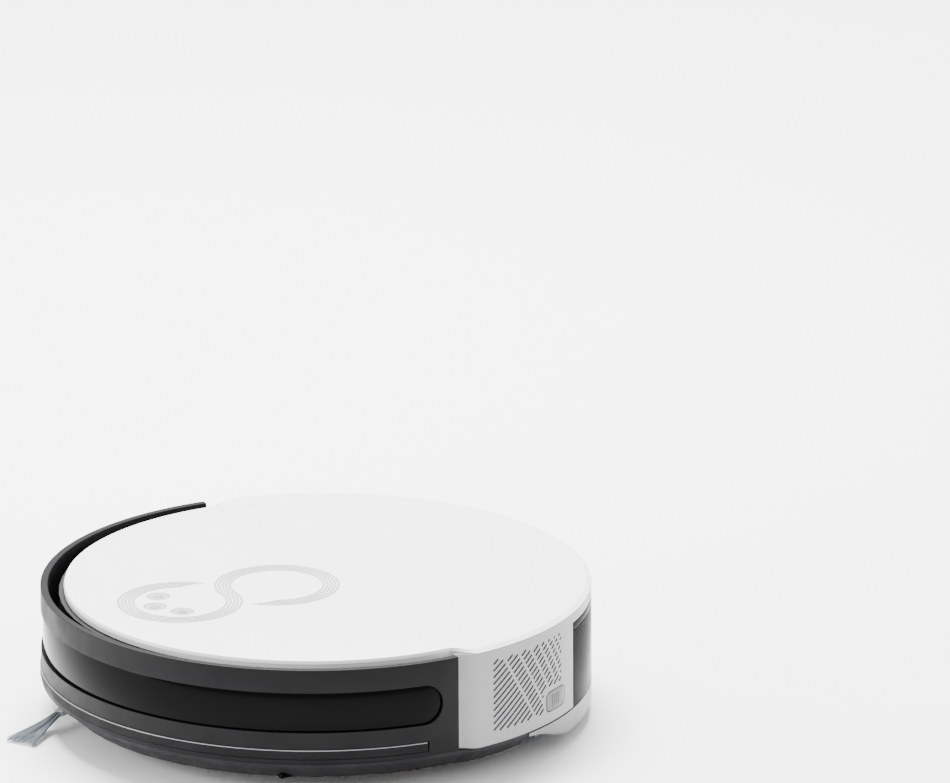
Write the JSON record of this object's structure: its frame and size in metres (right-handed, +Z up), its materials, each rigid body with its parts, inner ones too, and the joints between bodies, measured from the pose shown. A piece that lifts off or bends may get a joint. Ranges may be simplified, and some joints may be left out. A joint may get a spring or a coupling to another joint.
{
  "type": "robot vacuum",
  "caption": "Low round robot vacuum with sprung half-ring bumper, sensor window, pull-out rear dust bin and mop plate, drive wheels, caster and side brush.",
  "frame": {"origin": "on the floor, under the centre of the round body", "axes": "+Z up, front (bumper) towards -Y, the robot's own left towards +X"},
  "size_m": [0.3306, 0.3538, 0.0829],
  "materials": {
    "white_cover": "satin",
    "white_button": "satin",
    "black_bumper": "fine grain",
    "window_black": "gloss",
    "soft_black": "matte",
    "spring_steel": "polished",
    "silver_shell": "satin",
    "light_grey": "satin",
    "contact_metal": "polished",
    "black_frame": "matte",
    "dark_grey": "matte",
    "smoke_clear": "clear smoke",
    "filter_paper": "pleated paper",
    "pad_cloth": "microfibre",
    "motor_steel": "satin",
    "tyre_rubber": "matte",
    "caster_black": "satin",
    "brush_arm_grey": "translucent",
    "bristle": "fibres",
    "battery_wrap": "shrink wrap",
    "board_green": "lacquer",
    "screw_steel": "satin"
  },
  "bodies": {
    "chassis": {"base_pan": "dark_grey", "inner_frame": "black_frame", "side_shell": "silver_shell", "top_cover": "white_cover", "charge_contact_left": "contact_metal", "charge_contact_right": "contact_metal", "battery_door": "dark_grey", "battery_pack": "battery_wrap", "main_board": "board_green", "button_board": "board_green", "fan_housing": "dark_grey", "fan_motor": "motor_steel", "brush_motor": "motor_steel", "brush_bearing": "light_grey", "side_brush_motor": "motor_steel", "cliff_window_left": "window_black", "cliff_window_right": "window_black", "cliff_window_front": "window_black", "suspension_spring_left": "spring_steel", "suspension_spring_right": "spring_steel", "bumper_spring_left": "spring_steel", "bumper_spring_right": "spring_steel", "pan_screw_1": "screw_steel", "pan_screw_2": "screw_steel", "pan_screw_3": "screw_steel", "pan_screw_4": "screw_steel", "pan_screw_5": "screw_steel"},
    "bumper_ring": {"bumper": "black_bumper", "bumper_window": "window_black", "bumper_strip": "soft_black"},
    "home_key": {"home_button": "white_button"},
    "power_key": {"power_button": "white_button"},
    "spot_key": {"spot_button": "white_button"},
    "latch_left_body": {"latch_left": "light_grey"},
    "latch_right_body": {"latch_right": "light_grey"},
    "bin": {"dust_bin": "smoke_clear", "bin_lid": "smoke_clear", "bin_filter": "filter_paper"},
    "evac_door": {"evac_flap": "soft_black"},
    "mop_module": {"mop_plate": "light_grey", "mop_pad": "pad_cloth"},
    "arm_left": {"wheel_arm_left": "dark_grey", "drive_motor_left": "motor_steel"},
    "arm_right": {"wheel_arm_right": "dark_grey", "drive_motor_right": "motor_steel"},
    "wheel_left": {"wheel_hub_left": "light_grey", "tyre_left": "tyre_rubber"},
    "wheel_right": {"wheel_hub_right": "light_grey", "tyre_right": "tyre_rubber"},
    "caster_swivel_body": {"caster_fork": "dark_grey", "caster_axle": "spring_steel"},
    "caster_roller": {"caster_wheel": "caster_black"},
    "brush_roll": {"main_brush": "soft_black"},
    "brush_cover": {"brush_guard": "dark_grey"},
    "side_brush": {"side_brush_hub": "brush_arm_grey", "side_brush_tuft_1": "bristle", "side_brush_tuft_2": "bristle"},
    "fan_rotor": {"fan_impeller": "light_grey"}
  },
  "joints": [
    {"name": "bumper_press", "type": "slide", "parent": "chassis", "child": "bumper_ring", "axis": [0, 1, 0], "range_m": [0, 0.004], "stiffness_N_per_m": 400, "springref_m": -0.003, "deforming": ["bumper_spring_left", "bumper_spring_right"]},
    {"name": "home_button_press", "type": "slide", "parent": "chassis", "child": "home_key", "axis": [0, 0, -1], "range_m": [0, 0.0006], "stiffness_N_per_m": 600, "springref_m": -0.0005},
    {"name": "power_button_press", "type": "slide", "parent": "chassis", "child": "power_key", "axis": [0, 0, -1], "range_m": [0, 0.0006], "stiffness_N_per_m": 600, "springref_m": -0.0005},
    {"name": "spot_button_press", "type": "slide", "parent": "chassis", "child": "spot_key", "axis": [0, 0, -1], "range_m": [0, 0.0006], "stiffness_N_per_m": 600, "springref_m": -0.0005},
    {"name": "latch_left_press", "type": "slide", "parent": "chassis", "child": "latch_left_body", "axis": [-0.848, -0.5299, 0], "range_m": [0, 0.0025], "stiffness_N_per_m": 500, "springref_m": -0.002},
    {"name": "latch_right_press", "type": "slide", "parent": "chassis", "child": "latch_right_body", "axis": [0.848, -0.5299, 0], "range_m": [0, 0.0025], "stiffness_N_per_m": 500, "springref_m": -0.002},
    {"name": "bin_pull_out", "type": "slide", "parent": "chassis", "child": "bin", "axis": [0, 1, 0], "range_m": [0, 0.11]},
    {"name": "evac_flap_swing", "type": "hinge", "parent": "bin", "child": "evac_door", "pos_m": [0, 0.1617, 0.0487], "axis": [1, 0, 0], "range_deg": [0, 50], "stiffness_Nm_per_rad": 0.002, "springref_deg": -28.65},
    {"name": "mop_pull_off", "type": "slide", "parent": "chassis", "child": "mop_module", "axis": [0, 1, 0], "range_m": [0, 0.12]},
    {"name": "suspension_left", "type": "hinge", "parent": "chassis", "child": "arm_left", "pos_m": [0.101, -0.046, 0.04], "axis": [-1, 0, 0], "range_deg": [0, 18], "stiffness_Nm_per_rad": 0.5, "springref_deg": 31.51, "deforming": ["suspension_spring_left"]},
    {"name": "wheel_spin_left", "type": "hinge", "parent": "arm_left", "child": "wheel_left", "pos_m": [0.116, 0.002, 0.035], "axis": [1, 0, 0], "continuous": true},
    {"name": "suspension_right", "type": "hinge", "parent": "chassis", "child": "arm_right", "pos_m": [-0.101, -0.046, 0.04], "axis": [-1, 0, 0], "range_deg": [0, 18], "stiffness_Nm_per_rad": 0.5, "springref_deg": 31.51, "deforming": ["suspension_spring_right"]},
    {"name": "wheel_spin_right", "type": "hinge", "parent": "arm_right", "child": "wheel_right", "pos_m": [-0.116, 0.002, 0.035], "axis": [1, 0, 0], "continuous": true},
    {"name": "caster_swivel", "type": "hinge", "parent": "chassis", "child": "caster_swivel_body", "pos_m": [0, -0.066, 0.025], "axis": [0, 0, 1], "continuous": true},
    {"name": "caster_roll", "type": "hinge", "parent": "caster_swivel_body", "child": "caster_roller", "pos_m": [0, -0.06, 0.012], "axis": [1, 0, 0], "continuous": true},
    {"name": "main_brush_spin", "type": "hinge", "parent": "chassis", "child": "brush_roll", "pos_m": [0, 0.033, 0.0255], "axis": [1, 0, 0], "continuous": true},
    {"name": "brush_guard_release", "type": "slide", "parent": "chassis", "child": "brush_cover", "axis": [0, 0, -1], "range_m": [0, 0.02]},
    {"name": "side_brush_spin", "type": "hinge", "parent": "chassis", "child": "side_brush", "pos_m": [-0.0612, -0.1261, 0.008], "axis": [0, 0, 1], "continuous": true},
    {"name": "fan_spin", "type": "hinge", "parent": "chassis", "child": "fan_rotor", "pos_m": [0.04, 0.032, 0.064], "axis": [0, 0, 1], "continuous": true}
  ]
}
